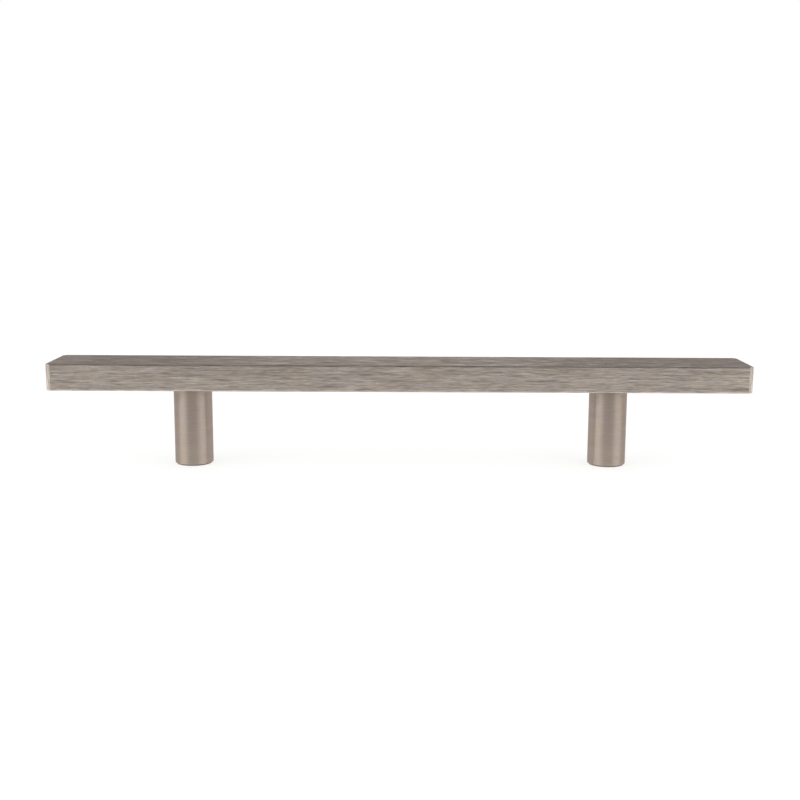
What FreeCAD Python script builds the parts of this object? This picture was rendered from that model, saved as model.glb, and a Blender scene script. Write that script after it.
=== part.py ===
import FreeCAD, Part
import os
import Sketcher

# Cabinet pull: a flat bar carried on two round posts, standing on its mounting plane.
# X runs along the bar, Y across it and Z away from the door. The origin lies on the mounting
# plane, midway between the two mounting holes. Lengths are millimetres, angles are degrees.
#
# Each post is turned, then drilled and tapped at both ends: the mounting screw goes in at its
# foot, and a headless stud in its head draws it up against the underside of the bar. A tapped
# bore has the thread's outside diameter as far as the thread runs, and the tap drill's diameter
# and point beyond it.

# Driving dimensions: name, value and meaning.
SIZES = [
    ("bar_length", 212.0, "bar, end to end"),
    ("bar_width", 22.0, "bar, front to back"),
    ("bar_thickness", 8.0, "bar, underside to outer face"),
    ("corner_cut", 1.5, "leg of the flat cut on each upright corner of the bar"),
    ("edge_radius", 0.6, "rounding of the bar's four long edges"),
    ("end_break", 0.15, "rounding of the cut edges round the bar's two ends"),
    ("hole_spacing", 128.0, "centre to centre of the mounting holes"),
    ("post_diameter", 11.7, "outside of a post"),
    ("post_length", 24.0, "mounting plane to the underside of the bar"),
    ("foot_chamfer", 0.5, "leg of the chamfer round a post's foot"),
    ("head_chamfer", 0.2, "leg of the broken edge round a post's head"),
    ("screw_thread", 4.0, "outside diameter of the mounting screw's thread"),
    ("screw_pitch", 0.7, "pitch of the mounting screw's thread"),
    ("screw_depth", 10.0, "length of thread up from a post's foot"),
    ("screw_run_out", 1.0, "drilled length beyond that thread"),
    ("lead_in", 0.4, "leg of the countersink at the mouth of the mounting hole"),
    ("stud_thread", 6.0, "outside diameter of the stud's thread"),
    ("stud_pitch", 1.0, "pitch of the stud's thread"),
    ("stud_clearance", 0.05, "radial gap between the stud and the bores that it joins"),
    ("stud_depth", 7.5, "length of thread down from a post's head"),
    ("stud_run_out", 0.5, "drilled length beyond the thread of a stud bore"),
    ("stud_end_gap", 0.3, "gap between the stud's top and the end of the bar's thread"),
    ("bar_skin", 1.2, "metal left between the bar's drill points and its outer face"),
    ("drill_angle", 118.0, "point angle of the drills"),
    ("socket_width", 3.0, "stud's hexagon socket, across its flats"),
    ("socket_depth", 2.5, "depth of the stud's hexagon socket"),
]

# Sizes that follow from the driving ones, as expressions over the sheet.
SCREW_DRILL = "(sizes.screw_thread - sizes.screw_pitch)"
STUD_DRILL = "(sizes.stud_thread - sizes.stud_pitch)"
STUD_BORE = "(sizes.stud_thread + 2 * sizes.stud_clearance)"
STUD_POINT_DEPTH = "(" + STUD_DRILL + " / 2 / tan(sizes.drill_angle / 2))"
BAR_DRILL_DEPTH = "(sizes.bar_thickness - sizes.bar_skin - " + STUD_POINT_DEPTH + ")"
BAR_THREAD_DEPTH = "(" + BAR_DRILL_DEPTH + " - sizes.stud_run_out)"
STUD_LENGTH = "(sizes.stud_depth + " + BAR_THREAD_DEPTH + " - sizes.stud_end_gap)"
STUD_CHAMFER = "(sizes.stud_pitch / 2)"

SIDES = {"left": "-sizes.hole_spacing / 2", "right": "sizes.hole_spacing / 2"}


def make_sheet(doc):
    """Write the driving dimensions into the sheet, one row each."""
    sheet = doc.addObject("Spreadsheet::Sheet", "sizes")
    for row, (name, value, meaning) in enumerate(SIZES, start=1):
        sheet.set("A%d" % row, name)
        sheet.set("B%d" % row, str(value))
        sheet.setAlias("B%d" % row, name)
        sheet.set("C%d" % row, meaning)
    doc.recompute()


def new_body(doc, label, place):
    """A sub-part with its own label, placed by expressions for the given axes."""
    body = doc.addObject("PartDesign::Body", label)
    body.Label = label
    for axis, expression in place.items():
        body.setExpression("Placement.Base." + axis, expression)
    return body


def new_sketch(body, name, role, height=None):
    """A sketch on one of the body's own origin planes, raised by an expression if given."""
    sketch = body.newObject("Sketcher::SketchObject", name)
    plane = [item for item in body.Origin.OriginFeatures if item.Role == role][0]
    sketch.AttachmentSupport = [(plane, "")]
    sketch.MapMode = "FlatFace"
    if height:
        sketch.setExpression("AttachmentOffset.Base.z", height)
    return sketch


def tie(sketch, kind, *where):
    """Add a constraint without a value. In a sketch, -1, 1 is the origin, -1 X and -2 Y."""
    return sketch.addConstraint(Sketcher.Constraint(kind, *where))


def dimension(sketch, name, expression, kind, *where):
    """Add a named dimension to a sketch and bind it to the sheet."""
    index = sketch.addConstraint(Sketcher.Constraint(kind, *where, 1.0))
    sketch.renameConstraint(index, name)
    sketch.setExpression("Constraints." + name, expression)


def closed_outline(sketch, corners):
    """Join the corners with straight lines, end to end, and return how many there are."""
    count = len(corners)
    points = [FreeCAD.Vector(x, y, 0) for x, y in corners]
    for index in range(count):
        sketch.addGeometry(Part.LineSegment(points[index], points[(index + 1) % count]))
    for index in range(count):
        tie(sketch, "Coincident", index, 2, (index + 1) % count, 1)
    return count


def turned_profile(sketch, corners):
    """Outline of half a section: each corner is a radius and a height, as expressions.

    None stands for a corner that lies on the axis or on the base line.
    """
    rough = [(0 if radius is None else 1 + index, 0 if height is None else 1 + index)
             for index, (radius, height) in enumerate(corners)]
    closed_outline(sketch, rough)
    for index, (radius, height) in enumerate(corners):
        if radius is None:
            tie(sketch, "PointOnObject", index, 1, -2)
        else:
            dimension(sketch, "radius_%d" % index, radius, "DistanceX", -1, 1, index, 1)
        if height is None:
            tie(sketch, "PointOnObject", index, 1, -1)
        else:
            dimension(sketch, "height_%d" % index, height, "DistanceY", -1, 1, index, 1)


def revolve(body, name, sketch):
    """Turn a half section about its upright axis."""
    turned = body.newObject("PartDesign::Revolution", name)
    turned.Profile = sketch
    turned.ReferenceAxis = (sketch, ["V_Axis"])
    turned.Angle = 360
    sketch.Visibility = False
    return turned


def check_cut(doc, body, cut, before):
    """Raise if a cut left the body as it was."""
    doc.recompute()
    if not cut.Shape.Volume < before - 1e-6:
        raise RuntimeError("%s cuts nothing from %s" % (cut.Name, body.Label))


def drill(doc, body, name, sketch, diameter, depth, upwards, pointed, mouth=None):
    """A blind hole at each circle of a sketch, with a drill point or a countersunk mouth."""
    before = body.Tip.Shape.Volume
    hole = body.newObject("PartDesign::Hole", name)
    hole.Profile = sketch
    doc.recompute()
    hole.ThreadType = "None"
    hole.DepthType = "Dimension"
    hole.Reversed = upwards
    hole.setExpression("Diameter", diameter)
    hole.setExpression("Depth", depth)
    hole.DrillPoint = "Angled" if pointed else "Flat"
    if pointed:
        hole.setExpression("DrillPointAngle", "sizes.drill_angle")
    if mouth:
        hole.HoleCutType = "Countersink"
        hole.HoleCutCustomValues = True
        hole.HoleCutCountersinkAngle = 90
        hole.setExpression("HoleCutDiameter", mouth)
    sketch.Visibility = False
    check_cut(doc, body, hole, before)


def runs_along(edge, axis):
    """True for a straight edge that is parallel to an axis."""
    first, last = edge.Vertexes[0].Point, edge.Vertexes[-1].Point
    return edge.Curve.TypeId == "Part::GeomLine" and (last - first).cross(axis).Length < 1e-6


def dress_edges(doc, body, kind, name, size_property, expression, wanted):
    """Fillet or chamfer those edges of the body's tip that pass the test."""
    base = body.Tip
    names = ["Edge%d" % number for number, edge in enumerate(base.Shape.Edges, start=1) if wanted(edge)]
    dressed = body.newObject("PartDesign::" + kind, name)
    dressed.Base = (base, names)
    dressed.setExpression(size_property, expression)
    doc.recompute()


def make_bar(doc):
    """Grip bar: a flat bar with cut corners, rounded edges and two blind bores in its underside."""
    body = new_body(doc, "grip_bar", {"z": "sizes.post_length"})

    outline = new_sketch(body, "bar_outline", "XY_Plane")
    closed_outline(outline, [(-1, -1), (1, -1), (1, 1), (-1, 1)])
    for side, direction in enumerate(("Horizontal", "Vertical", "Horizontal", "Vertical")):
        tie(outline, direction, side)
    tie(outline, "Symmetric", 0, 1, 1, 2, -1, 1)
    dimension(outline, "length", "sizes.bar_length", "DistanceX", 0, 1, 0, 2)
    dimension(outline, "width", "sizes.bar_width", "DistanceY", 1, 1, 1, 2)

    bar = body.newObject("PartDesign::Pad", "bar_blank")
    bar.Profile = outline
    bar.setExpression("Length", "sizes.bar_thickness")
    outline.Visibility = False
    doc.recompute()

    along, up = FreeCAD.Vector(1, 0, 0), FreeCAD.Vector(0, 0, 1)
    dress_edges(doc, body, "Chamfer", "corner_cuts", "Size", "sizes.corner_cut",
                lambda edge: runs_along(edge, up))
    dress_edges(doc, body, "Fillet", "long_edges", "Radius", "sizes.edge_radius",
                lambda edge: runs_along(edge, along))
    dress_edges(doc, body, "Fillet", "end_edges", "Radius", "sizes.end_break",
                lambda edge: not runs_along(edge, along) and not runs_along(edge, up))

    centres = new_sketch(body, "bar_bore_centres", "XY_Plane")
    for x in (-2, 2):
        centres.addGeometry(Part.Circle(FreeCAD.Vector(x, 0, 0), FreeCAD.Vector(0, 0, 1), 1))
    tie(centres, "PointOnObject", 0, 3, -1)
    tie(centres, "Symmetric", 0, 3, 1, 3, -1, 1)
    tie(centres, "Equal", 0, 1)
    dimension(centres, "spacing", "sizes.hole_spacing", "DistanceX", 0, 3, 1, 3)
    dimension(centres, "bore", STUD_DRILL, "Diameter", 0)
    drill(doc, body, "bar_drilled", centres, STUD_DRILL, BAR_DRILL_DEPTH, True, True)
    drill(doc, body, "bar_tapped", centres, STUD_BORE, BAR_THREAD_DEPTH, True, False)
    return body


def centre_circle(body, name, diameter, height=None):
    """A sketch holding one circle about the body's upright axis."""
    sketch = new_sketch(body, name, "XY_Plane", height)
    sketch.addGeometry(Part.Circle(FreeCAD.Vector(0, 0, 0), FreeCAD.Vector(0, 0, 1), 1))
    tie(sketch, "Coincident", 0, 3, -1, 1)
    dimension(sketch, "bore", diameter, "Diameter", 0)
    return sketch


def make_post(doc, side):
    """Post: turned with a chamfered foot, then drilled and tapped at both ends."""
    body = new_body(doc, "post_" + side, {"x": SIDES[side]})

    section = new_sketch(body, "post_section_" + side, "XZ_Plane")
    turned_profile(section, [
        (None, None),
        ("sizes.post_diameter / 2 - sizes.foot_chamfer", None),
        ("sizes.post_diameter / 2", "sizes.foot_chamfer"),
        ("sizes.post_diameter / 2", "sizes.post_length - sizes.head_chamfer"),
        ("sizes.post_diameter / 2 - sizes.head_chamfer", "sizes.post_length"),
        (None, "sizes.post_length"),
    ])
    revolve(body, "post_blank_" + side, section)
    doc.recompute()

    foot = centre_circle(body, "foot_centre_" + side, SCREW_DRILL)
    drill(doc, body, "foot_drilled_" + side, foot, SCREW_DRILL,
          "sizes.screw_depth + sizes.screw_run_out", True, True)
    drill(doc, body, "foot_tapped_" + side, foot, "sizes.screw_thread", "sizes.screw_depth",
          True, False, "sizes.screw_thread + 2 * sizes.lead_in")

    head = centre_circle(body, "head_centre_" + side, STUD_DRILL, "sizes.post_length")
    drill(doc, body, "head_drilled_" + side, head, STUD_DRILL,
          "sizes.stud_depth + sizes.stud_run_out", False, True)
    drill(doc, body, "head_tapped_" + side, head, STUD_BORE, "sizes.stud_depth", False, False)
    return body


def make_stud(doc, side):
    """Stud: a headless screw with chamfered ends, bottomed in the post, its socket in the bar."""
    seat = "sizes.post_length - sizes.stud_depth"
    body = new_body(doc, "stud_" + side, {"x": SIDES[side], "z": seat})

    section = new_sketch(body, "stud_section_" + side, "XZ_Plane")
    turned_profile(section, [
        (None, None),
        ("sizes.stud_thread / 2 - " + STUD_CHAMFER, None),
        ("sizes.stud_thread / 2", STUD_CHAMFER),
        ("sizes.stud_thread / 2", STUD_LENGTH + " - " + STUD_CHAMFER),
        ("sizes.stud_thread / 2 - " + STUD_CHAMFER, STUD_LENGTH),
        (None, STUD_LENGTH),
    ])
    shank = revolve(body, "stud_blank_" + side, section)
    doc.recompute()

    hexagon = new_sketch(body, "socket_outline_" + side, "XY_Plane", STUD_LENGTH)
    sides = closed_outline(hexagon, [(1, 0), (0.5, 0.9), (-0.5, 0.9), (-1, 0), (-0.5, -0.9), (0.5, -0.9)])
    hexagon.addGeometry(Part.Circle(FreeCAD.Vector(0, 0, 0), FreeCAD.Vector(0, 0, 1), 1), True)
    tie(hexagon, "Coincident", sides, 3, -1, 1)
    for index in range(sides):
        tie(hexagon, "PointOnObject", index, 1, sides)
    for index in range(1, sides):
        tie(hexagon, "Equal", 0, index)
    tie(hexagon, "Horizontal", 1)
    dimension(hexagon, "corners", "2 * sizes.socket_width / sqrt(3)", "Diameter", sides)

    before = shank.Shape.Volume
    socket = body.newObject("PartDesign::Pocket", "stud_socket_" + side)
    socket.Profile = hexagon
    socket.setExpression("Length", "sizes.socket_depth")
    hexagon.Visibility = False
    check_cut(doc, body, socket, before)
    return body


def check_document(doc, bodies):
    """Raise if any feature failed or any sub-part has no sound solid."""
    failed = [item.Name for item in doc.Objects if {"Invalid", "Error"} & set(item.State)]
    if failed:
        raise RuntimeError("failed features: " + ", ".join(failed))
    for body in bodies:
        if body.Shape.isNull() or not body.Shape.isValid() or len(body.Shape.Solids) != 1:
            raise RuntimeError(body.Label + " is not one sound solid")


doc = FreeCAD.newDocument("cabinet_pull")
make_sheet(doc)
bodies = [make_bar(doc)]
for side in SIDES:
    bodies += [make_post(doc, side), make_stud(doc, side)]
doc.recompute()
check_document(doc, bodies)

os.makedirs("parts", exist_ok=True)
for body in bodies:
    body.Shape.exportStep("parts/%s.step" % body.Label)
    box = body.Shape.BoundBox
    print("%-10s volume %.2f mm3, x %.2f to %.2f, y %.2f to %.2f, z %.2f to %.2f" % (
        body.Label, body.Shape.Volume, box.XMin, box.XMax, box.YMin, box.YMax, box.ZMin, box.ZMax))
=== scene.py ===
import math

import bmesh
import bpy
from bpy.props import FloatProperty, FloatVectorProperty, IntProperty, PointerProperty
from mathutils import Matrix, Vector


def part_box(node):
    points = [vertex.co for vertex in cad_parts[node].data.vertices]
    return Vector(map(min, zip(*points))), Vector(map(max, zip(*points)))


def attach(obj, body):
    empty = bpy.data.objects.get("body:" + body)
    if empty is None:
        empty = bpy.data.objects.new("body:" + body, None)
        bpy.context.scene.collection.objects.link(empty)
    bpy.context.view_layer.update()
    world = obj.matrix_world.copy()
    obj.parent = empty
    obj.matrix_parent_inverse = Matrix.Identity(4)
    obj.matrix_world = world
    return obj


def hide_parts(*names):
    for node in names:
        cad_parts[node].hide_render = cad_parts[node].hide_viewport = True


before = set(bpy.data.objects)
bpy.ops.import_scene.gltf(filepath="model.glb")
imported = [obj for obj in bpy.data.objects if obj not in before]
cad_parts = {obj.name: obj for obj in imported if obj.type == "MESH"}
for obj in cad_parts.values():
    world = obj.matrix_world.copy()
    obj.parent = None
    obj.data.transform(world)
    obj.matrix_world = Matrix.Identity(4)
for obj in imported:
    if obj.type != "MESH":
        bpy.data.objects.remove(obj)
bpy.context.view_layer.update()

# Cabinet pull in brushed nickel: a flat bar on two round posts. The bar and the posts are the
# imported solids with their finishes. The threads in the posts' feet and the threaded studs that
# join posts and bar are built here. Lengths are metres, X runs along the bar, Y across it and
# Z away from the door.

bl_info = {
    "name": "Brushed cabinet pull",
    "version": (1, 0, 0),
    "blender": (4, 5, 0),
    "location": "3D View > Sidebar > Cabinet Pull",
    "description": "Finishes, threads, studs and studio for a bar pull on two round posts",
    "category": "Object",
}

SIDES = ("left", "right")
MM = 0.001


def middle(node):
    """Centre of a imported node's box."""
    low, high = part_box(node)
    return (low + high) / 2


def add_object(name, data):
    """A new object of the scene."""
    thing = bpy.data.objects.new(name, data)
    bpy.context.scene.collection.objects.link(thing)
    return thing


# Sizes and colours that a user would change.


class PullFinish(bpy.types.PropertyGroup):
    """Colours and grain of the three metals."""

    bar_colour: FloatVectorProperty(
        name="Bar colour",
        description="Reflected colour of the bar's brushed nickel",
        subtype="COLOR", size=3, min=0, max=1, default=(0.371, 0.324, 0.285))
    post_colour: FloatVectorProperty(
        name="Post colour",
        description="Reflected colour of the posts' brushed nickel",
        subtype="COLOR", size=3, min=0, max=1, default=(0.278, 0.231, 0.196))
    steel_colour: FloatVectorProperty(
        name="Stud colour",
        description="Reflected colour of the plain steel studs",
        subtype="COLOR", size=3, min=0, max=1, default=(0.55, 0.55, 0.56))
    glancing_tint: FloatVectorProperty(
        name="Glancing tint",
        description="Colour that the brushed nickel keeps when it is seen at a low angle",
        subtype="COLOR", size=3, min=0, max=1, default=(0.70, 0.655, 0.645))
    bar_roughness: FloatProperty(
        name="Bar roughness",
        description="Mean roughness of the bar's brushed faces",
        subtype="FACTOR", min=0, max=1, default=0.38)
    post_roughness: FloatProperty(
        name="Post roughness",
        description="Mean roughness of the turned and brushed posts",
        subtype="FACTOR", min=0, max=1, default=0.34)
    steel_roughness: FloatProperty(
        name="Stud roughness",
        description="Mean roughness of the plain steel studs",
        subtype="FACTOR", min=0, max=1, default=0.35)
    roughness_spread: FloatProperty(
        name="Roughness spread",
        description="How far a scratch moves the roughness either way",
        subtype="FACTOR", min=0, max=0.3, default=0.14)
    scratch_length: FloatProperty(
        name="Scratch length",
        description="Usual length of a brushing scratch",
        unit="LENGTH", min=0.001, max=0.1, default=10.5 * MM)
    scratch_width: FloatProperty(
        name="Scratch width",
        description="Usual width of a brushing scratch",
        unit="LENGTH", min=0.00002, max=0.002, default=0.25 * MM)
    scratch_depth: FloatProperty(
        name="Scratch depth",
        description="Height of the brushed relief, peak to valley",
        unit="LENGTH", min=0, max=0.001, default=0.3 * MM)
    scratch_contrast: FloatProperty(
        name="Scratch contrast",
        description="How much darker or lighter a scratch is than the metal",
        subtype="FACTOR", min=0, max=1, default=0.34)
    band_length: FloatProperty(
        name="Band length",
        description="Length of a band of scratches, in scratch lengths",
        min=0.1, default=0.5)
    # Lighter edges: partly wear from handling, partly a painted highlight.
    edge_wear_and_sheen: FloatProperty(
        name="Edge shine",
        description="How much lighter the metal is where handling has rubbed its edges",
        subtype="FACTOR", min=0, max=1, default=0.34)
    # Painted shadow: the chamfer round a foot is darkened to stand in for the contact shade where
    # the post meets the floor.
    painted_foot_shadow: FloatProperty(
        name="Foot shade",
        description="How much darker the unbrushed chamfer round a foot is",
        subtype="FACTOR", min=0, max=1, default=0.35)


class PullThreads(bpy.types.PropertyGroup):
    """Threads in the posts' feet and on the studs."""

    screw_radius: FloatProperty(
        name="Screw thread radius",
        description="Outside radius of the mounting thread in a foot",
        unit="LENGTH", default=2.0 * MM)
    screw_pitch: FloatProperty(
        name="Screw pitch",
        description="Pitch of the mounting thread",
        unit="LENGTH", default=0.7 * MM)
    screw_start: FloatProperty(
        name="Thread start",
        description="Height where the thread in the foot starts",
        unit="LENGTH", default=0.75 * MM)
    screw_end: FloatProperty(
        name="Thread end",
        description="Height where the thread in the foot ends",
        unit="LENGTH", default=9.6 * MM)
    stud_pitch: FloatProperty(
        name="Stud pitch",
        description="Pitch of the stud's thread",
        unit="LENGTH", default=1.0 * MM)
    stud_chamfer: FloatProperty(
        name="Stud chamfer",
        description="Leg of the chamfer at each end of a stud",
        unit="LENGTH", default=0.7 * MM)
    socket_width: FloatProperty(
        name="Socket width",
        description="Stud's hexagon socket across its flats",
        unit="LENGTH", default=3.0 * MM)
    socket_depth: FloatProperty(
        name="Socket depth",
        description="Depth of the stud's hexagon socket",
        unit="LENGTH", default=2.5 * MM)
    steps: IntProperty(
        name="Steps a turn",
        description="Straight pieces in one turn of a thread",
        min=12, max=128, default=64)


class PullStudio(bpy.types.PropertyGroup):
    """Floor, light and camera."""

    floor_colour: FloatVectorProperty(
        name="Floor colour",
        description="Plain pale floor",
        subtype="COLOR", size=3, min=0, max=1, default=(0.90, 0.90, 0.90))
    floor_reach: FloatProperty(
        name="Floor reach",
        description="Distance from the middle of the floor to each of its sides",
        unit="LENGTH", min=1, default=6.0)
    floor_glow: FloatProperty(
        name="Floor glow",
        description="Brightness that the floor is lifted towards where it is seen",
        min=0, default=1.25)
    glow_share: FloatProperty(
        name="Glow share",
        description="How much of the seen floor is glow; the rest keeps its shadow",
        subtype="FACTOR", min=0, max=1, default=0.6)
    mirror_glow: FloatProperty(
        name="Mirrored glow",
        description="Brightness of the floor's glow where metal reflects it, 1 is white",
        min=0, default=1.35)
    front_glow: FloatProperty(
        name="Front glow",
        description="The mirrored glow where the floor darkens towards the camera",
        min=0, default=0.4)
    mirror_share: FloatProperty(
        name="Mirrored glow share",
        description="How much of the floor that metal reflects is glow",
        subtype="FACTOR", min=0, max=1, default=0.95)
    ambient: FloatProperty(
        name="Ambient light",
        description="Strength of the even light from all round",
        min=0, default=0.72)
    ceiling_level: FloatProperty(
        name="Ceiling",
        description="Brightness of the dark ceiling, where 1 is white",
        min=0, default=0.25)
    ceiling_height: FloatProperty(
        name="Ceiling height",
        description="Height of the dark ceiling above the floor",
        unit="LENGTH", min=0.1, default=1.0)
    ceiling_radius: FloatProperty(
        name="Ceiling radius",
        description="Radius of the round dark ceiling",
        unit="LENGTH", min=0.1, default=1.43)
    left_level: FloatProperty(
        name="Left softbox",
        description="What the left softbox adds to the white room, where 1 is white",
        min=0, default=1.4)
    right_level: FloatProperty(
        name="Right softbox",
        description="What the right softbox adds to the white room, where 1 is white",
        min=0, default=1.15)
    softbox_azimuth: FloatProperty(
        name="Softbox direction",
        description="Direction of the softboxes, from the camera's side",
        subtype="ANGLE", default=math.radians(58))
    softbox_distance: FloatProperty(
        name="Softbox distance",
        description="Distance of the softboxes from the pull's middle",
        unit="LENGTH", min=0.5, default=1.5)
    softbox_width: FloatProperty(
        name="Softbox width",
        description="Width of the upright softboxes",
        unit="LENGTH", min=0.1, default=1.6)
    softbox_height: FloatProperty(
        name="Softbox height",
        description="Height of the upright softboxes, which stand on the floor",
        unit="LENGTH", min=0.1, default=1.05)
    strip_left: FloatProperty(
        name="Left strip",
        description="What the low left strip lamp adds to its softbox",
        min=0, default=1.6)
    strip_right: FloatProperty(
        name="Right strip",
        description="What the low right strip lamp adds to its softbox",
        min=0, default=1.5)
    strip_azimuth: FloatProperty(
        name="Strip direction",
        description="Direction of the strip lamps, from the camera's side",
        subtype="ANGLE", default=math.radians(64))
    strip_distance: FloatProperty(
        name="Strip distance",
        description="Distance of the strip lamps from the pull's middle",
        unit="LENGTH", min=0.5, default=1.4)
    strip_width: FloatProperty(
        name="Strip width",
        description="Width of the low strip lamps",
        unit="LENGTH", min=0.1, default=1.0)
    strip_height: FloatProperty(
        name="Strip height",
        description="Height of the strip lamps, which stand on the floor",
        unit="LENGTH", min=0.02, default=0.40)
    back_level: FloatProperty(
        name="Back lamp",
        description="What the lamp behind the pull adds to the white room",
        min=0, default=0.54)
    back_distance: FloatProperty(
        name="Back lamp distance",
        description="Distance of the lamp behind the pull from its middle",
        unit="LENGTH", min=0.5, default=1.5)
    back_width: FloatProperty(
        name="Back lamp width",
        description="Width of the lamp behind the pull",
        unit="LENGTH", min=0.05, default=0.5)
    back_height: FloatProperty(
        name="Back lamp height",
        description="Height of the lamp behind the pull, which stands on the floor",
        unit="LENGTH", min=0.05, default=0.9)
    camera_place: FloatVectorProperty(
        name="Camera place",
        description="Where the camera stands",
        subtype="TRANSLATION", size=3, default=(-0.06 * MM, -366.56 * MM, 82.78 * MM))
    camera_turn: FloatProperty(
        name="Camera turn",
        description="Turn of the camera about the upright axis",
        subtype="ANGLE", default=math.radians(-0.923))
    camera_tilt: FloatProperty(
        name="Camera tilt",
        description="How far the camera looks below the horizon",
        subtype="ANGLE", default=math.radians(9.738))
    camera_lean: FloatProperty(
        name="Camera lean",
        description="Roll of the camera about its own line of sight",
        subtype="ANGLE", default=math.radians(0.391))
    lens: FloatProperty(
        name="Lens",
        description="Focal length on a 36 mm sensor, in millimetres",
        min=10, default=54.208)
    shift: FloatProperty(
        name="Lens shift",
        description="Sideways shift of the picture",
        default=-0.025)


# Node helpers.


def add_node(tree, kind, **values):
    """A node of the given kind, with attributes and input values set by name."""
    node = tree.nodes.new(kind)
    inputs = values.pop("inputs", {})
    for name, value in values.items():
        setattr(node, name, value)
    for name, value in inputs.items():
        if isinstance(value, bpy.types.NodeSocket):
            tree.links.new(value, node.inputs[name])
        else:
            node.inputs[name].default_value = value
    return node


def calculate(tree, operation, *values):
    """Result of a Math node on sockets or numbers."""
    node = add_node(tree, "ShaderNodeMath", operation=operation,
                    inputs=dict(enumerate(values)))
    return node.outputs[0]


def calculate_vector(tree, operation, *values, **named):
    """Result of a Vector Math node on vectors; a Scale is given by its name."""
    node = add_node(tree, "ShaderNodeVectorMath", operation=operation,
                    inputs={**dict(enumerate(values)), **named})
    return node.outputs["Vector"]


def length_of(tree, vector):
    """Length of a vector."""
    node = add_node(tree, "ShaderNodeVectorMath", operation="LENGTH", inputs={0: vector})
    return node.outputs["Value"]


def combine(tree, **parts):
    """A vector from its X, Y and Z; a part that isn't given is 0."""
    return add_node(tree, "ShaderNodeCombineXYZ", inputs=parts).outputs[0]


def separate(tree, vector):
    """The outputs X, Y and Z of a vector."""
    return add_node(tree, "ShaderNodeSeparateXYZ", inputs={0: vector}).outputs


def remap(tree, value, from_low, from_high, to_low=0.0, to_high=1.0):
    """A value moved from one range to another and kept inside it."""
    node = add_node(tree, "ShaderNodeMapRange", clamp=True, inputs={
        "Value": value, "From Min": from_low, "From Max": from_high,
        "To Min": to_low, "To Max": to_high})
    return node.outputs["Result"]


def mix_number(tree, factor, first, second):
    """A number between the first, at 0, and the second, at 1."""
    node = add_node(tree, "ShaderNodeMix", data_type="FLOAT",
                    inputs={0: factor, 2: first, 3: second})
    return node.outputs[0]


def mix_colour(tree, factor, first, second, blend_type="MIX"):
    """A colour between the first, at 0, and the blend of both, at 1."""
    node = add_node(tree, "ShaderNodeMix", data_type="RGBA", blend_type=blend_type,
                    inputs={0: factor, 6: first, 7: second})
    return node.outputs[2]


def new_material(name):
    """A material with an empty node tree but for its output."""
    material = bpy.data.materials.new(name)
    material.use_nodes = True
    material.node_tree.nodes.clear()
    output = material.node_tree.nodes.new("ShaderNodeOutputMaterial")
    return material, material.node_tree, output


def glow_of(tree, level):
    """An even white glow, where a level of 1 is white."""
    return add_node(tree, "ShaderNodeEmission", inputs={
        "Color": [1, 1, 1, 1], "Strength": level}).outputs[0]


def add_sockets(group, direction, sockets):
    """Named sockets on a node group: name, kind and default."""
    for name, kind, default in sockets:
        socket = group.interface.new_socket(name=name, in_out=direction, socket_type=kind)
        if default is not None:
            socket.default_value = default


def shared(name, build):
    """A shader node group, built once."""
    return bpy.data.node_groups.get(name) or build()


# Finishes.

ANISOTROPY = 0.8
QUARTER_TURN = 0.25  # of a full one; the posts' highlights stretch across their tangent

# Where most values of the noise lie.
NOISE_RANGE = (0.34, 0.66)
PATCH_RANGE = (0.35, 0.65)
SHEEN_AND_WEAR_RANGE = (0.3, 0.7)

# Limits for the way that the surface faces, whose X, Y and Z lie between -1 and 1.
EDGE_RANGE = (0.02, 0.2)  # product of two squares: 0 on a face, 0.25 on a 45 degree edge
UNDERSIDE_RANGE = (-0.3, -0.6)  # Z
END_RANGE = (0.35, 0.6)  # X
CORNER_RANGE = (0.2, 0.35)  # X times Y

# Length and width of the scratches on the bar's ends and cut corners, as shares of those
# along the bar.
END_SCRATCHES = (0.6, 0.8)
CORNER_SCRATCHES = (0.6, 0.6)

# A post's rings are finer and fainter than the bar's scratches, by these factors.
RING_WIDTH = 0.7
RING_DEPTH = 0.2
RING_CONTRAST = 0.2
RING_SPREAD = 0.3


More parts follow.
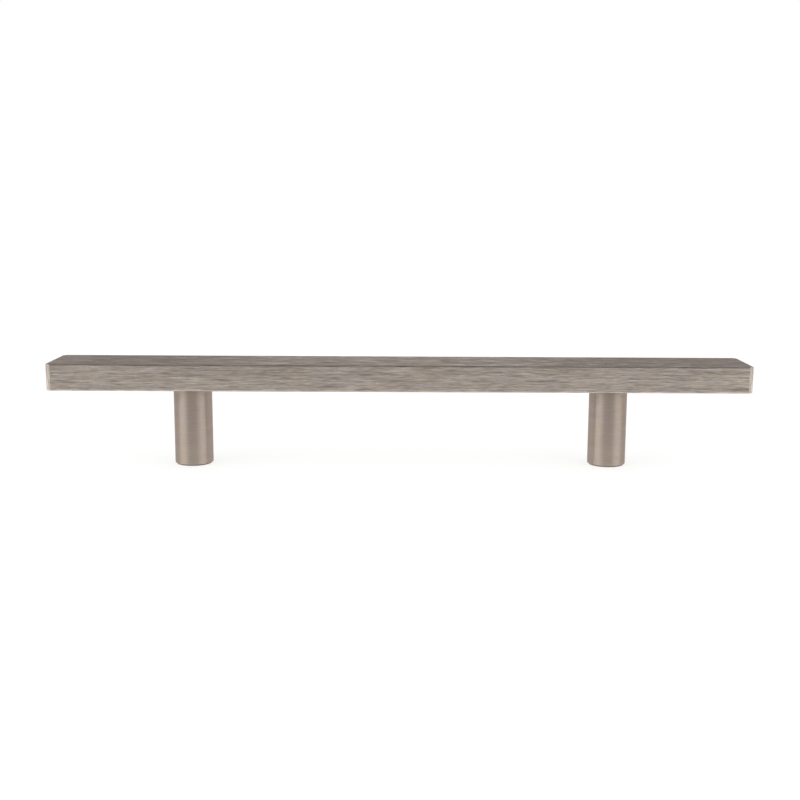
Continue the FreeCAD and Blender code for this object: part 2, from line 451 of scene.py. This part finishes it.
def scratch_grain_group():
    """Shared grain: scratches that run along X of the vector it is given.

    Fine and broad scratches lie in wider bands, which are what shows at a low angle.
    """
    group = bpy.data.node_groups.new("scratch_grain", "ShaderNodeTree")
    add_sockets(group, "INPUT", [
        ("Vector", "NodeSocketVector", None),
        ("Length", "NodeSocketFloat", 0.008),
        ("Width", "NodeSocketFloat", 0.0004),
        ("Band Length", "NodeSocketFloat", 1.0)])
    add_sockets(group, "OUTPUT", [
        ("Scratches", "NodeSocketFloat", None),
        ("Bands", "NodeSocketFloat", None),
        ("Patches", "NodeSocketFloat", None),
        ("Height", "NodeSocketFloat", None)])
    given = group.nodes.new("NodeGroupInput").outputs
    result = group.nodes.new("NodeGroupOutput").inputs
    row_step = 1.7  # far enough apart in the noise for rows to differ
    seed_steps = (1.0, 1.7, 0.6)  # how far a seed of 1 moves a layer along X, Y and Z

    def layer(length_factor, width_factor, seed, in_rows=False):
        """Noise whose cells are as long and wide as a scratch, times the factors."""
        along = calculate(group, "MULTIPLY", given["Length"], length_factor)
        across = calculate(group, "MULTIPLY", given["Width"], width_factor)
        cell = combine(group, X=along, Y=across, Z=across)
        spot = calculate_vector(group, "DIVIDE", given["Vector"], cell)
        if in_rows:
            # Across the grain every scratch keeps to its own row, so it runs straight. Rows start
            # half a row off, or else a flat face would lie on the border of two.
            row = calculate_vector(group, "FLOOR",
                                   calculate_vector(group, "ADD", spot, (0, 0.5, 0.5)))
            apart = calculate_vector(group, "MULTIPLY", row, (0, row_step, row_step))
            spot = calculate_vector(group, "MULTIPLY_ADD", spot, (1, 0, 0), apart)
        moved = calculate_vector(group, "ADD", spot, [seed * step for step in seed_steps])
        noise = add_node(group, "ShaderNodeTexNoise", noise_dimensions="3D", inputs={
            "Vector": moved, "Scale": 1.0, "Detail": 1.0, "Roughness": 0.6})
        return noise.outputs[0]

    def weighed(*pairs):
        """Sum of the values times their weights."""
        total = 0.0
        for value, weight in pairs:
            total = calculate(group, "MULTIPLY_ADD", value, weight, total)
        return total

    broad = layer(length_factor=1.0, width_factor=1.0, seed=3.1, in_rows=True)
    fine = layer(length_factor=0.3, width_factor=0.7, seed=11.7, in_rows=True)
    bands = layer(length_factor=given["Band Length"], width_factor=5.5, seed=23.9)
    patches = layer(length_factor=0.9, width_factor=9.0, seed=41.3)
    values = {
        "Scratches": weighed((broad, 0.5), (fine, 0.5)),
        "Bands": bands,
        "Patches": patches,
        # The wider a layer's scratches are, the deeper they go, so that all slope alike.
        "Height": weighed((broad, 0.22), (fine, 0.14), (bands, 0.64))}
    for name, value in values.items():
        group.links.new(value, result[name])
    return group


def edge_light_and_wear_group():
    """Shared edge masks from the way that the surface faces.

    Wear And Sheen is 0 on the flat faces and up to 1 on a 45 degree edge. It marks where the
    edges are lightened, partly for wear and partly as a painted highlight.
    Underside Shade is the same, but only where the edge faces down. It marks a painted shadow.
    Round is 1 for a turned piece, whose side faces every way about Z, and 0 for a square one.
    """
    group = bpy.data.node_groups.new("edge_light_and_wear", "ShaderNodeTree")
    add_sockets(group, "INPUT", [
        ("Normal", "NodeSocketVector", None),
        ("Grain", "NodeSocketFloat", 0.5),
        ("Round", "NodeSocketFloat", 0.0)])
    add_sockets(group, "OUTPUT", [
        ("Wear And Sheen", "NodeSocketFloat", None),
        ("Underside Shade", "NodeSocketFloat", None)])
    given = group.nodes.new("NodeGroupInput").outputs
    result = group.nodes.new("NodeGroupOutput").inputs
    facing = separate(group, given["Normal"])
    x, y, z = (calculate(group, "MULTIPLY", side, side) for side in facing)
    upright = calculate(group, "MULTIPLY", z, calculate(group, "ADD", x, y))
    corners = calculate(group, "MULTIPLY", x, y)
    square = calculate(group, "SUBTRACT", 1.0, given["Round"])
    slope = calculate(group, "MULTIPLY_ADD", corners, square, upright)
    edge = remap(group, slope, *EDGE_RANGE)
    uneven = remap(group, given["Grain"], *SHEEN_AND_WEAR_RANGE, to_low=0.7)
    # Painted shadow on the edges that face down.
    below = remap(group, facing["Z"], *UNDERSIDE_RANGE)
    group.links.new(calculate(group, "MULTIPLY", edge, uneven), result["Wear And Sheen"])
    group.links.new(calculate(group, "MULTIPLY", edge, below), result["Underside Shade"])
    return group


def scratch_grain(tree, vector, length, width, band_length=1.0):
    """The shared grain's outputs, for scratches of the given length and width."""
    return add_node(
        tree, "ShaderNodeGroup", node_tree=shared("scratch_grain", scratch_grain_group),
        inputs={"Vector": vector, "Length": length, "Width": width,
                "Band Length": band_length}).outputs


def edge_light_and_wear(tree, normal, grain, roundness):
    """The shared edge masks' outputs."""
    return add_node(
        tree, "ShaderNodeGroup", node_tree=shared("edge_light_and_wear", edge_light_and_wear_group),
        inputs={"Normal": normal, "Grain": grain, "Round": roundness}).outputs


def rubbed_and_lit(tree, colour, mask, factor):
    """A colour that is lighter, or darker, by a factor where the mask is 1: the edges' wear with
    a painted highlight, and the painted shadow round a foot.
    """
    return mix_colour(tree, mask, colour, [factor, factor, factor, 1], "MULTIPLY")


def shaded_colour(tree, grain, colour, contrast):
    """The metal's colour, darker in the scratches, with faint warm and cool patches."""
    fade = (1.0, 1.01, 1.03)  # dark scratches lose a little more green and blue
    dark = [channel * (1 - share * contrast) for channel, share in zip(colour, fade)] + [1]
    light = [min(1, channel * (1 + contrast)) for channel in colour] + [1]
    streaked = mix_colour(tree, remap(tree, grain["Scratches"], *NOISE_RANGE), dark, light)
    warm, cool = [1.012, 1.0, 0.975, 1], [0.994, 1.0, 1.028, 1]
    tint = mix_colour(tree, remap(tree, grain["Patches"], *PATCH_RANGE), warm, cool)
    return mix_colour(tree, 1.0, streaked, tint, "MULTIPLY")


def shaded_roughness(tree, grain, roughness, spread):
    """Rougher in the scratches and in every other band."""
    scratch_share, band_share = 0.4, 0.6
    mixed = calculate(tree, "ADD",
                      calculate(tree, "MULTIPLY", grain["Scratches"], scratch_share),
                      calculate(tree, "MULTIPLY", grain["Bands"], band_share))
    return remap(tree, mixed, *NOISE_RANGE, roughness + spread, roughness - spread)


def brushed_bar(finish):
    """Brushed nickel of the bar: along it, across its ends, up and down its cut corners."""
    material, tree, output = new_material("brushed_nickel_bar")
    place = add_node(tree, "ShaderNodeTexCoord").outputs

    def scratches(vector, length_share, width_share):
        """Grain along X of the vector, with shares of the usual length and width."""
        return scratch_grain(tree, vector, finish.scratch_length * length_share,
                             finish.scratch_width * width_share, finish.band_length)

    long_grain = scratches(place["Object"], 1.0, 1.0)
    turned = add_node(tree, "ShaderNodeMapping", vector_type="POINT", inputs={
        "Vector": place["Object"], "Rotation": (0, 0, math.radians(90))}).outputs[0]
    end_grain = scratches(turned, *END_SCRATCHES)

    # Up and down a cut corner is along its grain. Across it, |x| - |y| grows by 1.4 times the
    # way, so 0.7 of that is counted.
    away = separate(tree, calculate_vector(tree, "ABSOLUTE", place["Object"]))
    sideways = calculate(tree, "MULTIPLY", calculate(tree, "SUBTRACT", away["X"], away["Y"]), 0.7)
    upright = combine(tree, X=away["Z"], Z=sideways)
    corner_grain = scratches(upright, *CORNER_SCRATCHES)

    facing = separate(tree, place["Normal"])
    endways = calculate(tree, "ABSOLUTE", facing["X"])
    slanted = calculate(tree, "MULTIPLY", endways, calculate(tree, "ABSOLUTE", facing["Y"]))
    at_end = remap(tree, endways, *END_RANGE)
    at_corner = remap(tree, slanted, *CORNER_RANGE)
    grain = {}
    for name in ("Scratches", "Bands", "Patches", "Height"):
        straight = mix_number(tree, at_end, long_grain[name], end_grain[name])
        grain[name] = mix_number(tree, at_corner, straight, corner_grain[name])

    bump = add_node(tree, "ShaderNodeBump", inputs={
        "Strength": 1.0, "Distance": finish.scratch_depth, "Height": grain["Height"]})
    tangent = add_node(tree, "ShaderNodeTangent", direction_type="RADIAL", axis="X")
    streaked = shaded_colour(tree, grain, finish.bar_colour, finish.scratch_contrast)
    # The edges are lighter, partly for wear and partly as a painted highlight.
    edge_masks = edge_light_and_wear(tree, place["Normal"], grain["Bands"], roundness=0.0)
    metal = add_node(tree, "ShaderNodeBsdfPrincipled", inputs={
        "Base Color": rubbed_and_lit(tree, streaked, edge_masks["Wear And Sheen"], 1 + finish.edge_wear_and_sheen),
        "Metallic": 1.0, "Specular Tint": [*finish.glancing_tint, 1],
        "Roughness": shaded_roughness(tree, grain, finish.bar_roughness, finish.roughness_spread),
        "Anisotropic": ANISOTROPY, "Normal": bump.outputs[0], "Tangent": tangent.outputs[0]})
    tree.links.new(metal.outputs[0], output.inputs["Surface"])
    return material


def brushed_post(finish, side):
    """Brushed nickel of a post: fine rings round the post, from turning and brushing."""
    material, tree, output = new_material("brushed_nickel_post_" + side)
    place = add_node(tree, "ShaderNodeTexCoord").outputs
    centre = middle("post_" + side)
    centred = add_node(tree, "ShaderNodeMapping", vector_type="POINT", inputs={
        "Vector": place["Object"], "Location": (-centre.x, -centre.y, 0)}).outputs[0]
    # The grain runs round the post, so both X and Y count as along it, Y a little less. Height
    # and distance from the axis count as across it, which also gives rings on the flat foot.
    y_weight = 0.7
    parts = separate(tree, centred)
    around = calculate(tree, "MULTIPLY_ADD", parts["Y"], y_weight, parts["X"])
    away = length_of(tree, combine(tree, X=parts["X"], Y=parts["Y"]))
    ringed = combine(tree, X=around, Z=calculate(tree, "ADD", parts["Z"], away))
    grain = scratch_grain(tree, ringed, finish.scratch_length,
                          finish.scratch_width * RING_WIDTH)

    bump = add_node(tree, "ShaderNodeBump", inputs={
        "Strength": 1.0, "Distance": finish.scratch_depth * RING_DEPTH,
        "Height": grain["Height"]})
    tangent = add_node(tree, "ShaderNodeTangent", direction_type="RADIAL", axis="Z")
    streaked = shaded_colour(tree, grain, finish.post_colour,
                             finish.scratch_contrast * RING_CONTRAST)
    edge_masks = edge_light_and_wear(tree, place["Normal"], grain["Bands"], roundness=1.0)
    # Lighter edges, partly wear and partly a painted highlight.
    shiny = rubbed_and_lit(tree, streaked, edge_masks["Wear And Sheen"], 1 + finish.edge_wear_and_sheen)
    # Painted shadow: the downward chamfer round the foot is darkened as contact shade; dividing
    # by the edges' lightening takes that lightening back there.
    shade = (1 - finish.painted_foot_shadow) / (1 + finish.edge_wear_and_sheen)
    metal = add_node(tree, "ShaderNodeBsdfPrincipled", inputs={
        "Base Color": rubbed_and_lit(tree, shiny, edge_masks["Underside Shade"], shade),
        "Metallic": 1.0, "Specular Tint": [*finish.glancing_tint, 1],
        "Roughness": shaded_roughness(tree, grain, finish.post_roughness,
                                      finish.roughness_spread * RING_SPREAD),
        "Anisotropic": ANISOTROPY, "Anisotropic Rotation": QUARTER_TURN,
        "Normal": bump.outputs[0], "Tangent": tangent.outputs[0]})
    tree.links.new(metal.outputs[0], output.inputs["Surface"])
    return material


def plain_steel(finish):
    """Plain steel of the studs: smooth, with faint rolling marks."""
    material, tree, output = new_material("plain_steel")
    place = add_node(tree, "ShaderNodeTexCoord").outputs
    grain = scratch_grain(tree, place["Object"], length=2 * MM, width=0.2 * MM)
    metal = add_node(tree, "ShaderNodeBsdfPrincipled", inputs={
        "Base Color": shaded_colour(tree, grain, finish.steel_colour, contrast=0.06),
        "Metallic": 1.0,
        "Roughness": shaded_roughness(tree, grain, finish.steel_roughness, spread=0.07)})
    tree.links.new(metal.outputs[0], output.inputs["Surface"])
    return material


def dress(node, material):
    """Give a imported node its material, on every slot."""
    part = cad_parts[node]
    if not part.material_slots:
        part.data.materials.append(material)
    for slot in part.material_slots:
        slot.material = material


# Geometry node helpers.


def new_geometry_tree(name, sockets):
    """A geometry tree with named inputs, and its input sockets and output node."""
    tree = bpy.data.node_groups.new(name, "GeometryNodeTree")
    add_sockets(tree, "INPUT", sockets)
    add_sockets(tree, "INPUT", [("Material", "NodeSocketMaterial", None)])
    add_sockets(tree, "OUTPUT", [("Geometry", "NodeSocketGeometry", None)])
    return tree, tree.nodes.new("NodeGroupInput").outputs, tree.nodes.new("NodeGroupOutput")


def finish_geometry_tree(tree, geometry, given, output):
    """Move the shape to its centre and end the tree in Realize Instances and Set Material."""
    placed = add_node(tree, "GeometryNodeTransform", inputs={
        "Geometry": geometry, "Translation": given["Centre"]})
    real = add_node(tree, "GeometryNodeRealizeInstances", inputs={
        "Geometry": placed.outputs[0]})
    painted = add_node(tree, "GeometryNodeSetMaterial", inputs={
        "Geometry": real.outputs[0], "Material": given["Material"]})
    tree.links.new(painted.outputs[0], output.inputs["Geometry"])


def grow(name, tree, values):
    """Run a geometry tree once and keep its result as a plain mesh object."""
    holder = add_object(name, bpy.data.meshes.new(name))
    modifier = holder.modifiers.new(name, "NODES")
    modifier.node_group = tree
    for item in tree.interface.items_tree:
        if item.item_type == "SOCKET" and item.in_out == "INPUT" and item.name in values:
            modifier[item.identifier] = values[item.name]
    graph = bpy.context.evaluated_depsgraph_get()
    mesh = bpy.data.meshes.new_from_object(holder.evaluated_get(graph), depsgraph=graph)
    if not mesh.polygons:
        raise RuntimeError(name + " came out empty")
    holder.modifiers.clear()
    holder.data = mesh
    mesh.name = name
    return holder


def check_closed(piece):
    """Raise if a piece has an open edge or a negative volume."""
    shell = bmesh.new()
    shell.from_mesh(piece.data)
    open_edges = sum(len(edge.link_faces) != 2 for edge in shell.edges)
    volume = shell.calc_volume(signed=True)
    shell.free()
    if open_edges or volume <= 0:
        raise RuntimeError("%s has %d open edges and a volume of %g"
                           % (piece.name, open_edges, volume))


def soften(piece):
    """Smooth shading, with edges sharper than a thread's facets kept sharp."""
    piece.data.shade_smooth()
    piece.data.set_sharp_from_angle(angle=math.radians(40))


# Threads.

# Sections, as shares of the thread's pitch.
RIDGE_HEIGHT = 0.54
RIDGE_BASE = 0.84
RIDGE_CREST = 0.25
GROOVE_DEPTH = 0.6
FLANK_RANGE = (0.08, 0.43)  # where a stud's flank lies, from the middle of a crest

ROWS_A_PITCH = 16.0  # rows of faces on a stud
WALL_OVERLAP = 0.02 * MM  # how far the base of a foot's ridge lies in the wall
FADE_TURNS = 0.5  # part of a turn over which a foot's ridge grows to its full size
END_SIZE = 0.12  # size of the ridge's two ends, as a share of its full size


def foot_thread_tree():
    """A right-handed helical ridge of trapezium section on the wall of a bore."""
    tree, given, output = new_geometry_tree("foot_thread", [
        ("Centre", "NodeSocketVector", None),
        ("Wall Radius", "NodeSocketFloat", 0.002),
        ("Ridge Height", "NodeSocketFloat", 0.0004),
        ("Base Width", "NodeSocketFloat", 0.0006),
        ("Crest Width", "NodeSocketFloat", 0.00018),
        ("Pitch", "NodeSocketFloat", 0.0007),
        ("Length", "NodeSocketFloat", 0.009),
        ("Steps a Turn", "NodeSocketInt", 40)])
    turns = calculate(tree, "DIVIDE", given["Length"], given["Pitch"])
    half_height = calculate(tree, "MULTIPLY", given["Ridge Height"], 0.5)
    middle_radius = calculate(tree, "SUBTRACT", given["Wall Radius"], half_height)
    spiral = add_node(tree, "GeometryNodeCurveSpiral", inputs={
        "Resolution": given["Steps a Turn"], "Rotations": turns, "Start Radius": middle_radius,
        "End Radius": middle_radius, "Height": given["Length"], "Reverse": True})
    upright = add_node(tree, "GeometryNodeSetCurveNormal", mode="Z_UP",
                       inputs={"Curve": spiral.outputs[0]})
    # The ridge grows over its first half turn and shrinks over its last.
    along = add_node(tree, "GeometryNodeSplineParameter").outputs["Factor"]
    fade = calculate(tree, "DIVIDE", FADE_TURNS, turns)
    start = calculate(tree, "DIVIDE", along, fade)
    end = calculate(tree, "DIVIDE", calculate(tree, "SUBTRACT", 1.0, along), fade)
    size = calculate(tree, "MINIMUM", 1.0, calculate(tree, "MINIMUM", start, end))
    size = calculate(tree, "MAXIMUM", END_SIZE, size)
    # Where it is small it moves outwards, so that its base stays in the wall.
    place = add_node(tree, "GeometryNodeInputPosition").outputs[0]
    flat = calculate_vector(tree, "MULTIPLY", place, (1, 1, 0))
    gap = calculate(tree, "MULTIPLY", calculate(tree, "SUBTRACT", 1.0, size), half_height)
    push = calculate_vector(tree, "SCALE", calculate_vector(tree, "NORMALIZE", flat), Scale=gap)
    seated = add_node(tree, "GeometryNodeSetPosition", inputs={
        "Geometry": upright.outputs[0], "Offset": push})
    section = add_node(tree, "GeometryNodeCurvePrimitiveQuadrilateral", mode="TRAPEZOID", inputs={
        "Bottom Width": given["Base Width"], "Top Width": given["Crest Width"],
        "Height": given["Ridge Height"], "Offset": 0.0})
    turned = add_node(tree, "GeometryNodeTransform", inputs={
        "Geometry": section.outputs[0], "Rotation": (0, 0, math.radians(90))})
    swept = add_node(tree, "GeometryNodeCurveToMesh", inputs={
        "Curve": seated.outputs[0], "Profile Curve": turned.outputs[0], "Scale": size,
        "Fill Caps": True})
    finish_geometry_tree(tree, swept.outputs[0], given, output)
    return tree


def stud_tree():
    """A headless screw: threaded shank with chamfered ends and a hexagon socket."""
    tree, given, output = new_geometry_tree("threaded_stud", [
        ("Centre", "NodeSocketVector", None),
        ("Radius", "NodeSocketFloat", 0.003),
        ("Length", "NodeSocketFloat", 0.012),
        ("Pitch", "NodeSocketFloat", 0.001),
        ("Chamfer", "NodeSocketFloat", 0.0007),
        ("Socket Width", "NodeSocketFloat", 0.003),
        ("Socket Depth", "NodeSocketFloat", 0.0025),
        ("Steps a Turn", "NodeSocketInt", 40)])
    pitches = calculate(tree, "DIVIDE", given["Length"], given["Pitch"])
    blank = add_node(tree, "GeometryNodeMeshCylinder", fill_type="NGON", inputs={
        "Vertices": given["Steps a Turn"],
        "Side Segments": calculate(tree, "MULTIPLY", pitches, ROWS_A_PITCH),
        "Radius": given["Radius"], "Depth": given["Length"]})
    x, y, z = separate(tree, add_node(tree, "GeometryNodeInputPosition").outputs[0])

    # The thread's wave climbs one pitch a turn, with flat crests and roots between its flanks.
    turn = calculate(tree, "DIVIDE", calculate(tree, "ARCTAN2", y, x), 2 * math.pi)
    lead = calculate(tree, "SUBTRACT", calculate(tree, "DIVIDE", z, given["Pitch"]), turn)
    flank = remap(tree, calculate(tree, "PINGPONG", lead, 0.5), *FLANK_RANGE)
    depth = calculate(tree, "MULTIPLY", given["Pitch"], GROOVE_DEPTH)
    thread = calculate(tree, "SUBTRACT", given["Radius"],
                       calculate(tree, "MULTIPLY", flank, depth))

    # Towards the ends the chamfer's cone is smaller than the thread.
    half_length = calculate(tree, "MULTIPLY", given["Length"], 0.5)
    to_end = calculate(tree, "SUBTRACT", half_length, calculate(tree, "ABSOLUTE", z))
    tip_radius = calculate(tree, "SUBTRACT", given["Radius"], given["Chamfer"])
    cone = calculate(tree, "ADD", tip_radius, to_end)
    outward = calculate_vector(tree, "NORMALIZE", combine(tree, X=x, Y=y))
    spread = calculate_vector(tree, "SCALE", outward,
                              Scale=calculate(tree, "MINIMUM", thread, cone))
    threaded = add_node(tree, "GeometryNodeSetPosition", inputs={
        "Geometry": blank.outputs[0],
        "Position": calculate_vector(tree, "ADD", spread, combine(tree, Z=z))})

    # The key that cuts the socket is centred on the stud's top, so half of it stands clear.
    # A hexagon's corners lie its width over root three from its middle.
    key = add_node(tree, "GeometryNodeMeshCylinder", fill_type="NGON", inputs={
        "Vertices": 6, "Radius": calculate(tree, "DIVIDE", given["Socket Width"], math.sqrt(3)),
        "Depth": calculate(tree, "MULTIPLY", given["Socket Depth"], 2.0)})
    raised = add_node(tree, "GeometryNodeTransform", inputs={
        "Geometry": key.outputs[0], "Translation": combine(tree, Z=half_length)})
    cut = add_node(tree, "GeometryNodeMeshBoolean", operation="DIFFERENCE", solver="EXACT")
    tree.links.new(threaded.outputs[0], cut.inputs["Mesh 1"])
    tree.links.new(raised.outputs[0], cut.inputs["Mesh 2"])
    finish_geometry_tree(tree, cut.outputs[0], given, output)
    return tree


# Studio.


def is_mirrored(tree):
    """1 for rays from gloss and through glass, else 0; and the Light Path's outputs."""
    path = add_node(tree, "ShaderNodeLightPath").outputs
    return calculate(tree, "MAXIMUM", path["Is Glossy Ray"], path["Is Transmission Ray"]), path


def make_floor(studio):
    """A plain pale floor that shows white and keeps a soft shadow; from below it is clear."""
    mesh = bpy.data.meshes.new("floor")
    reach = studio.floor_reach
    height = -0.05 * MM  # a hair below the feet, so that no two faces share a plane
    mesh.from_pydata([(-reach, -reach, height), (reach, -reach, height),
                      (reach, reach, height), (-reach, reach, height)], [], [(0, 1, 2, 3)])
    floor = add_object("floor", mesh)
    material, tree, output = new_material("pale_floor")
    mirrored, path = is_mirrored(tree)
    matt = add_node(tree, "ShaderNodeBsdfDiffuse", inputs={"Color": [*studio.floor_colour, 1]})
    place = add_node(tree, "ShaderNodeTexCoord").outputs["Object"]

    # What metal mirrors darkens from under the pull towards the camera. What the camera sees
    # is lifted a little more far away.
    front, under = -0.25, -0.02
    inner, outer, lift = 0.4, 2.5, 1.06
    reflected = remap(tree, separate(tree, place)["Y"], front, under,
                      studio.front_glow, studio.mirror_glow)
    seen = remap(tree, length_of(tree, place), inner, outer,
                 studio.floor_glow, studio.floor_glow * lift)
    share = calculate(tree, "MAXIMUM",
                      calculate(tree, "MULTIPLY", path["Is Camera Ray"], studio.glow_share),
                      calculate(tree, "MULTIPLY", mirrored, studio.mirror_share))
    glow = glow_of(tree, mix_number(tree, mirrored, seen, reflected))
    mixed = add_node(tree, "ShaderNodeMixShader", inputs={
        0: share, 1: matt.outputs[0], 2: glow})
    below = add_node(tree, "ShaderNodeNewGeometry").outputs["Backfacing"]
    clear = add_node(tree, "ShaderNodeBsdfTransparent")
    one_sided = add_node(tree, "ShaderNodeMixShader", inputs={
        0: below, 1: mixed.outputs[0], 2: clear.outputs[0]})
    tree.links.new(one_sided.outputs[0], output.inputs["Surface"])
    mesh.materials.append(material)


def make_world(studio):
    """Even light from all round, and a white background."""
    world = bpy.data.worlds.new("studio")
    world.use_nodes = True
    tree = world.node_tree
    tree.nodes.clear()
    mirrored, path = is_mirrored(tree)
    seen = calculate(tree, "MAXIMUM", path["Is Camera Ray"], mirrored)
    back = add_node(tree, "ShaderNodeBackground", inputs={
        "Color": [1, 1, 1, 1], "Strength": mix_number(tree, seen, studio.ambient, 1.0)})
    output = tree.nodes.new("ShaderNodeOutputWorld")
    tree.links.new(back.outputs[0], output.inputs["Surface"])
    bpy.context.scene.world = world


def make_ceiling(studio):
    """A dark round ceiling that only the metal's reflections see."""
    disc = bmesh.new()
    bmesh.ops.create_circle(disc, cap_ends=True, segments=48, radius=studio.ceiling_radius)
    bmesh.ops.translate(disc, verts=disc.verts, vec=(0, 0, studio.ceiling_height))
    mesh = bpy.data.meshes.new("ceiling")
    disc.to_mesh(mesh)
    disc.free()
    ceiling = add_object("ceiling", mesh)
    material, tree, output = new_material("dark_ceiling")
    tree.links.new(glow_of(tree, studio.ceiling_level), output.inputs["Surface"])
    mesh.materials.append(material)
    ceiling.visible_camera = ceiling.visible_diffuse = ceiling.visible_shadow = False


def make_lamp(name, azimuth, distance, width, height, level):
    """A rectangular lamp on the floor that faces the pull; the camera doesn't see it.

    The azimuth is from the camera's side, positive towards the right. A level of 1 is white.
    """
    lamp = bpy.data.lights.new(name, "AREA")
    lamp.shape = "RECTANGLE"
    lamp.size, lamp.size_y = width, height
    lamp.energy = level * math.pi * width * height
    box = add_object(name, lamp)
    box.location = (distance * math.sin(azimuth), -distance * math.cos(azimuth), height / 2)
    to_pull = Vector((0, 0, height / 2)) - box.location
    box.rotation_euler = to_pull.to_track_quat("-Z", "Y").to_euler()
    box.visible_camera = False


def make_camera(studio):
    """The camera, at the photograph's angle."""
    camera = add_object("camera", bpy.data.cameras.new("camera"))
    camera.data.sensor_width = 36.0
    camera.data.lens = studio.lens
    camera.data.shift_x = studio.shift
    camera.data.clip_start, camera.data.clip_end = 0.01, 100.0
    turned = (Matrix.Rotation(studio.camera_turn, 4, "Z")
              @ Matrix.Rotation(math.pi / 2 - studio.camera_tilt, 4, "X")
              @ Matrix.Rotation(studio.camera_lean, 4, "Z"))
    camera.matrix_world = Matrix.Translation(studio.camera_place) @ turned
    bpy.context.scene.camera = camera


# Operators.


class PULL_OT_bar(bpy.types.Operator):
    """Give the grip bar its brushed finish"""

    bl_idname = "pull.bar"
    bl_label = "Finish the Bar"

    def execute(self, context):
        dress("grip_bar", brushed_bar(context.scene.pull_finish))
        return {"FINISHED"}


class PULL_OT_posts(bpy.types.Operator):
    """Give the two posts their turned and brushed finish"""

    bl_idname = "pull.posts"
    bl_label = "Finish the Posts"

    def execute(self, context):
        for side in SIDES:
            dress("post_" + side, brushed_post(context.scene.pull_finish, side))
        return {"FINISHED"}


class PULL_OT_foot_threads(bpy.types.Operator):
    """Cut the mounting threads in the posts' feet"""

    bl_idname = "pull.foot_threads"
    bl_label = "Thread the Feet"

    def execute(self, context):
        sizes = context.scene.pull_threads
        tree = foot_thread_tree()
        for side in SIDES:
            axis = middle("post_" + side)
            ridge = grow("foot_thread_" + side, tree, {
                "Centre": (axis.x, axis.y, sizes.screw_start),
                "Wall Radius": sizes.screw_radius + WALL_OVERLAP,
                "Ridge Height": RIDGE_HEIGHT * sizes.screw_pitch,
                "Base Width": RIDGE_BASE * sizes.screw_pitch,
                "Crest Width": RIDGE_CREST * sizes.screw_pitch,
                "Pitch": sizes.screw_pitch,
                "Length": sizes.screw_end - sizes.screw_start,
                "Steps a Turn": sizes.steps,
                "Material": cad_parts["post_" + side].material_slots[0].material})
            check_closed(ridge)
            soften(ridge)
            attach(ridge, "root")
        return {"FINISHED"}


class PULL_OT_studs(bpy.types.Operator):
    """Make the threaded studs that hold the bar on the posts"""

    bl_idname = "pull.studs"
    bl_label = "Make the Studs"

    def execute(self, context):
        sizes = context.scene.pull_threads
        tree = stud_tree()
        steel = plain_steel(context.scene.pull_finish)
        for side in SIDES:
            low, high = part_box("stud_" + side)
            stud = grow("threaded_stud_" + side, tree, {
                "Centre": tuple((low + high) / 2),
                "Radius": (high.x - low.x) / 2,
                "Length": high.z - low.z,
                "Pitch": sizes.stud_pitch,
                "Chamfer": sizes.stud_chamfer,
                "Socket Width": sizes.socket_width,
                "Socket Depth": sizes.socket_depth,
                "Steps a Turn": sizes.steps,
                "Material": steel})
            check_closed(stud)
            soften(stud)
            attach(stud, "root")
            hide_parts("stud_" + side)
        return {"FINISHED"}


class PULL_OT_studio(bpy.types.Operator):
    """Set up the floor, the light and the camera"""

    bl_idname = "pull.studio"
    bl_label = "Set Up the Studio"

    def execute(self, context):
        studio = context.scene.pull_studio
        make_floor(studio)
        make_world(studio)
        make_ceiling(studio)
        for side, sign, level, low_level in (
                ("left", -1, studio.left_level, studio.strip_left),
                ("right", 1, studio.right_level, studio.strip_right)):
            make_lamp("softbox_" + side, sign * studio.softbox_azimuth, studio.softbox_distance,
                      studio.softbox_width, studio.softbox_height, level)
            make_lamp("strip_" + side, sign * studio.strip_azimuth, studio.strip_distance,
                      studio.strip_width, studio.strip_height, low_level)
        make_lamp("back_lamp", math.pi, studio.back_distance,
                  studio.back_width, studio.back_height, studio.back_level)
        make_camera(studio)
        context.scene.view_settings.view_transform = "Standard"
        return {"FINISHED"}


class PULL_PT_sidebar(bpy.types.Panel):
    """Steps of the cabinet pull, in order"""

    bl_label = "Cabinet Pull"
    bl_idname = "PULL_PT_sidebar"
    bl_space_type = "VIEW_3D"
    bl_region_type = "UI"
    bl_category = "Cabinet Pull"

    def draw(self, context):
        for step in STEPS:
            self.layout.operator(step.bl_idname)


STEPS = (PULL_OT_bar, PULL_OT_posts, PULL_OT_foot_threads, PULL_OT_studs, PULL_OT_studio)
GROUPS = {"pull_finish": PullFinish, "pull_threads": PullThreads, "pull_studio": PullStudio}


def register():
    for kind in (*GROUPS.values(), *STEPS, PULL_PT_sidebar):
        bpy.utils.register_class(kind)
    for name, kind in GROUPS.items():
        setattr(bpy.types.Scene, name, PointerProperty(type=kind))


def unregister():
    for name in GROUPS:
        delattr(bpy.types.Scene, name)
    for kind in (PULL_PT_sidebar, *reversed(STEPS), *reversed(GROUPS.values())):
        bpy.utils.unregister_class(kind)


def main():
    register()
    bpy.ops.pull.bar()
    bpy.ops.pull.posts()
    bpy.ops.pull.foot_threads()
    bpy.ops.pull.studs()
    bpy.ops.pull.studio()


if __name__ == "__main__":
    main()
